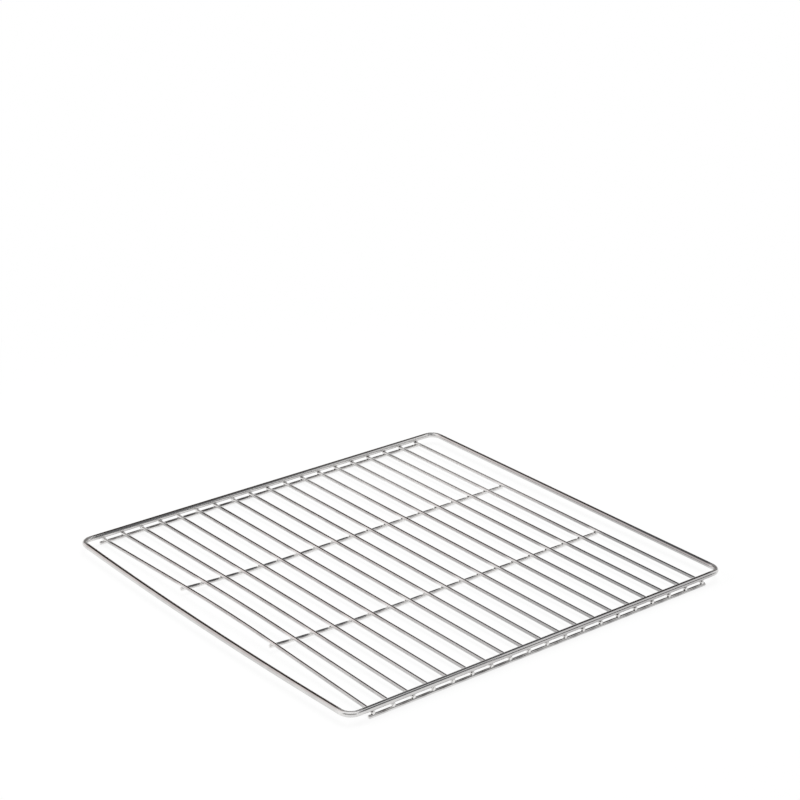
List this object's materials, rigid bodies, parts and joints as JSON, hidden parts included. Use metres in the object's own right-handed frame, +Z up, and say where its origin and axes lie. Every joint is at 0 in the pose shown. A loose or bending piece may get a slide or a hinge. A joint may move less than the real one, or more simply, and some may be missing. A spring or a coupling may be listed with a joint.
{
  "type": "smoker rack",
  "caption": "Flat wire rack for a food smoker: a mat of welded parallel wires under a rounded wire frame, which carries food and lets smoke through.",
  "frame": {"origin": "on the surface that the rack lies on, under the middle of its outline", "axes": "+X across the slats, +Y along them towards the rear, +Z up"},
  "size_m": [0.3736, 0.356, 0.0103],
  "materials": {
    "frame_wire": "bright polished wire",
    "mat_wire": "bright drawn wire"
  },
  "bodies": {
    "root": {"frame": "frame_wire", "slat_01": "mat_wire", "slat_02": "mat_wire", "slat_03": "mat_wire", "slat_04": "mat_wire", "slat_05": "mat_wire", "slat_06": "mat_wire", "slat_07": "mat_wire", "slat_08": "mat_wire", "slat_09": "mat_wire", "slat_10": "mat_wire", "slat_11": "mat_wire", "slat_12": "mat_wire", "slat_13": "mat_wire", "slat_14": "mat_wire", "slat_15": "mat_wire", "slat_16": "mat_wire", "slat_17": "mat_wire", "slat_18": "mat_wire", "slat_19": "mat_wire", "front_cross_wire": "mat_wire", "rear_cross_wire": "mat_wire", "front_rail": "mat_wire", "rear_rail": "mat_wire"}
  },
  "joints": []
}
